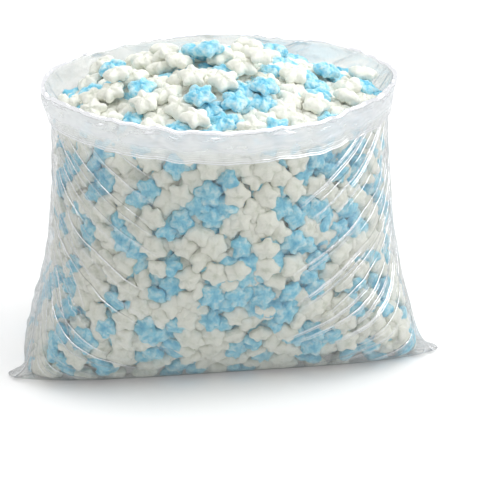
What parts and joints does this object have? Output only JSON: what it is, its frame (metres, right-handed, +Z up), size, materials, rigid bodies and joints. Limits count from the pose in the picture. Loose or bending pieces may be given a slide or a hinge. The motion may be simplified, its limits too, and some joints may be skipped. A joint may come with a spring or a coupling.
{
  "type": "open film bag of star-shaped foam filling",
  "caption": "Open clear film bag with a folded-down cuff, standing on its sealed base and heaped with star-shaped foam filling.",
  "frame": {"origin": "on the floor, under the middle of the bag's mouth, at the bottom centre of the bounding box", "axes": "+X to the bag's right as seen from its front, +Y from front to rear, +Z up"},
  "size_m": [0.434, 0.2857, 0.3274],
  "materials": {
    "clear_polythene": "clear, slightly milky film, softly wrinkled, glossy",
    "white_foam": "matt moulded foam with a smooth skin",
    "pale_blue_foam": "matt moulded foam with a slightly porous skin"
  },
  "bodies": {
    "root": {"film_bag": "clear_polythene", "filling": "white_foam", "star_white_01": "white_foam", "star_white_02": "white_foam", "star_white_03": "white_foam", "star_white_04": "white_foam", "star_white_05": "white_foam", "star_white_06": "white_foam", "star_white_07": "white_foam", "star_white_08": "white_foam", "star_white_09": "white_foam", "star_white_10": "white_foam", "star_white_11": "white_foam", "star_white_12": "white_foam", "star_white_13": "white_foam", "star_white_14": "white_foam", "star_white_15": "white_foam", "star_white_16": "white_foam", "star_white_17": "white_foam", "star_white_18": "white_foam", "star_white_19": "white_foam", "star_white_20": "white_foam", "star_white_21": "white_foam", "star_white_22": "white_foam", "star_white_23": "white_foam", "star_white_24": "white_foam", "star_white_25": "white_foam", "star_white_26": "white_foam", "star_white_27": "white_foam", "star_white_28": "white_foam", "star_white_29": "white_foam", "star_white_30": "white_foam", "star_white_31": "white_foam", "star_white_32": "white_foam", "star_white_33": "white_foam", "star_white_34": "white_foam", "star_white_35": "white_foam", "star_white_36": "white_foam", "star_white_37": "white_foam", "star_white_38": "white_foam", "star_white_39": "white_foam", "star_white_40": "white_foam", "star_white_41": "white_foam", "star_blue_01": "pale_blue_foam", "star_blue_02": "pale_blue_foam", "star_blue_03": "pale_blue_foam", "star_blue_04": "pale_blue_foam", "star_blue_05": "pale_blue_foam", "star_blue_06": "pale_blue_foam", "star_blue_07": "pale_blue_foam", "star_blue_08": "pale_blue_foam", "star_blue_09": "pale_blue_foam", "star_blue_10": "pale_blue_foam", "star_blue_11": "pale_blue_foam", "star_blue_12": "pale_blue_foam", "star_blue_13": "pale_blue_foam", "star_blue_14": "pale_blue_foam", "star_blue_15": "pale_blue_foam", "star_blue_16": "pale_blue_foam", "star_blue_17": "pale_blue_foam"}
  },
  "joints": []
}
